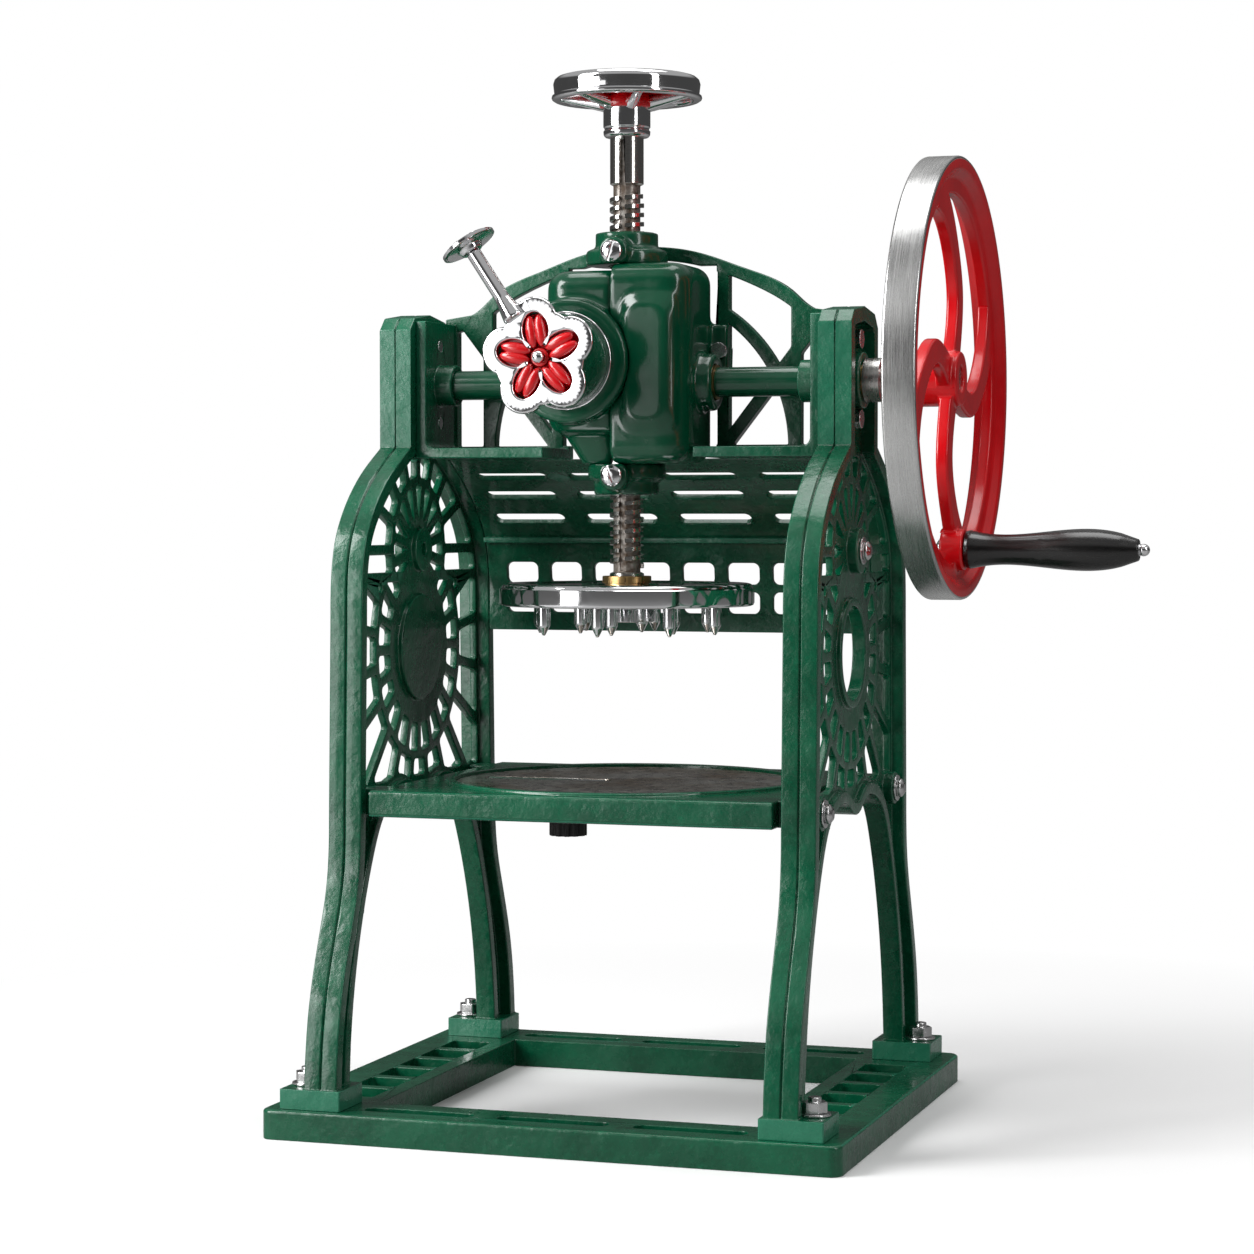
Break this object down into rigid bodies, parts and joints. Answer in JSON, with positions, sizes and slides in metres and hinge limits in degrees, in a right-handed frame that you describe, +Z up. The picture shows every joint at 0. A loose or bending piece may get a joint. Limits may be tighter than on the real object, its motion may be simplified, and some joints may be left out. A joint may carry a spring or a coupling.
{
  "type": "ice shaver with crank",
  "caption": "Hand cranked table-top ice shaver with openwork cast side frames, flywheel, bevel gears, feed spindle, spiked pressure plate and blade table.",
  "frame": {"origin": "on the table top, under the middle of the machine's box", "axes": "+X towards the crank handle, -Y towards the user, +Z up along the spindle"},
  "size_m": [0.3948, 0.252, 0.505],
  "materials": {
    "green_enamel": "gloss enamel on cast iron",
    "red_enamel": "gloss enamel",
    "machined_steel": "turned and brushed",
    "chrome_plate": "polished",
    "wear_steel": "ground, worn by ice",
    "bright_fastener": "plated",
    "blade_steel": "ground",
    "blue_steel": "blackened",
    "bronze": "turned",
    "satin_black": "black lacquer, satin"
  },
  "bodies": {
    "frame": {"base_plate": "green_enamel", "left_side_frame": "green_enamel", "right_side_frame": "green_enamel", "shaving_table": "green_enamel", "wear_plate": "wear_steel", "upper_yoke": "green_enamel", "back_guard": "green_enamel", "housing_left": "green_enamel", "housing_right": "green_enamel", "top_bearing_cap": "green_enamel", "bottom_bearing_cap": "green_enamel", "cap_screws": "chrome_plate", "lug_screws": "bright_fastener", "left_stay": "green_enamel", "shaft_tube": "green_enamel", "housing_bush": "bronze", "frame_bush": "bronze", "post_plug": "bright_fastener", "friction_ring": "chrome_plate", "foot_nuts": "bright_fastener", "foot_washers": "bright_fastener", "table_screws": "bright_fastener", "table_washers": "bright_fastener", "boss_screw": "bright_fastener", "boss_washer": "bright_fastener", "yoke_bolts": "bright_fastener"},
    "crank": {"flywheel": "red_enamel", "crank_shaft": "machined_steel", "drive_pinion": "machined_steel", "thrust_collar": "machined_steel", "handle_stud": "chrome_plate", "handle_tip": "chrome_plate"},
    "grip": {"handle_grip": "satin_black"},
    "driver": {"driven_gear": "machined_steel", "feather_key": "machined_steel"},
    "spindle": {"feed_spindle": "machined_steel", "pressure_plate": "chrome_plate", "plate_collar": "chrome_plate", "plate_nut": "chrome_plate", "ice_spikes": "chrome_plate", "top_handwheel": "red_enamel", "handwheel_nut": "chrome_plate"},
    "feed": {"worm_wheel": "machined_steel", "feed_shaft": "machined_steel"},
    "lock": {"feed_drum": "green_enamel", "flower_lever": "chrome_plate", "flower_insert": "red_enamel", "lever_knob": "chrome_plate"},
    "blade": {"blade_carrier": "blue_steel", "shaving_blade": "blade_steel", "blade_screws": "blade_steel", "guide_pins": "blue_steel"},
    "adjuster": {"blade_adjuster": "blue_steel"}
  },
  "joints": [
    {"name": "crank_spin", "type": "hinge", "parent": "frame", "child": "crank", "pos_m": [0.09263, 0, 0.3563], "axis": [1, 0, 0], "continuous": true},
    {"name": "grip_spin", "type": "hinge", "parent": "crank", "child": "grip", "pos_m": [0.15143, 0.00493, 0.27575], "axis": [1, 0, 0], "continuous": true},
    {"name": "driver_spin", "type": "hinge", "parent": "frame", "child": "driver", "pos_m": [-0.05737, 0, 0.33], "axis": [0, 0, 1], "continuous": true},
    {"name": "spindle_slide", "type": "slide", "parent": "driver", "child": "spindle", "axis": [0, 0, 1], "range_m": [-0.045, 0.035]},
    {"name": "feed_turn", "type": "hinge", "parent": "frame", "child": "feed", "pos_m": [-0.07688, 0, 0.366], "axis": [0, 1, 0], "range_deg": [-220, 282]},
    {"name": "lock_turn", "type": "hinge", "parent": "frame", "child": "lock", "pos_m": [-0.07688, -0.06, 0.366], "axis": [0, 1, 0], "range_deg": [-25, 35]},
    {"name": "blade_slide", "type": "slide", "parent": "frame", "child": "blade", "axis": [0, 0, 1], "range_m": [-0.0012, 0.0003]},
    {"name": "adjuster_turn", "type": "hinge", "parent": "frame", "child": "adjuster", "pos_m": [-0.09837, 0.03, 0.135], "axis": [0, 0, 1], "range_deg": [-350, 90]}
  ],
  "couplings": [
    {"joint": "driver_spin", "follows": "crank_spin", "ratio": 0.5},
    {"joint": "feed_turn", "follows": "spindle_slide", "rad_per_m": -107.4},
    {"joint": "adjuster_turn", "follows": "blade_slide", "rad_per_m": 5026.6}
  ]
}
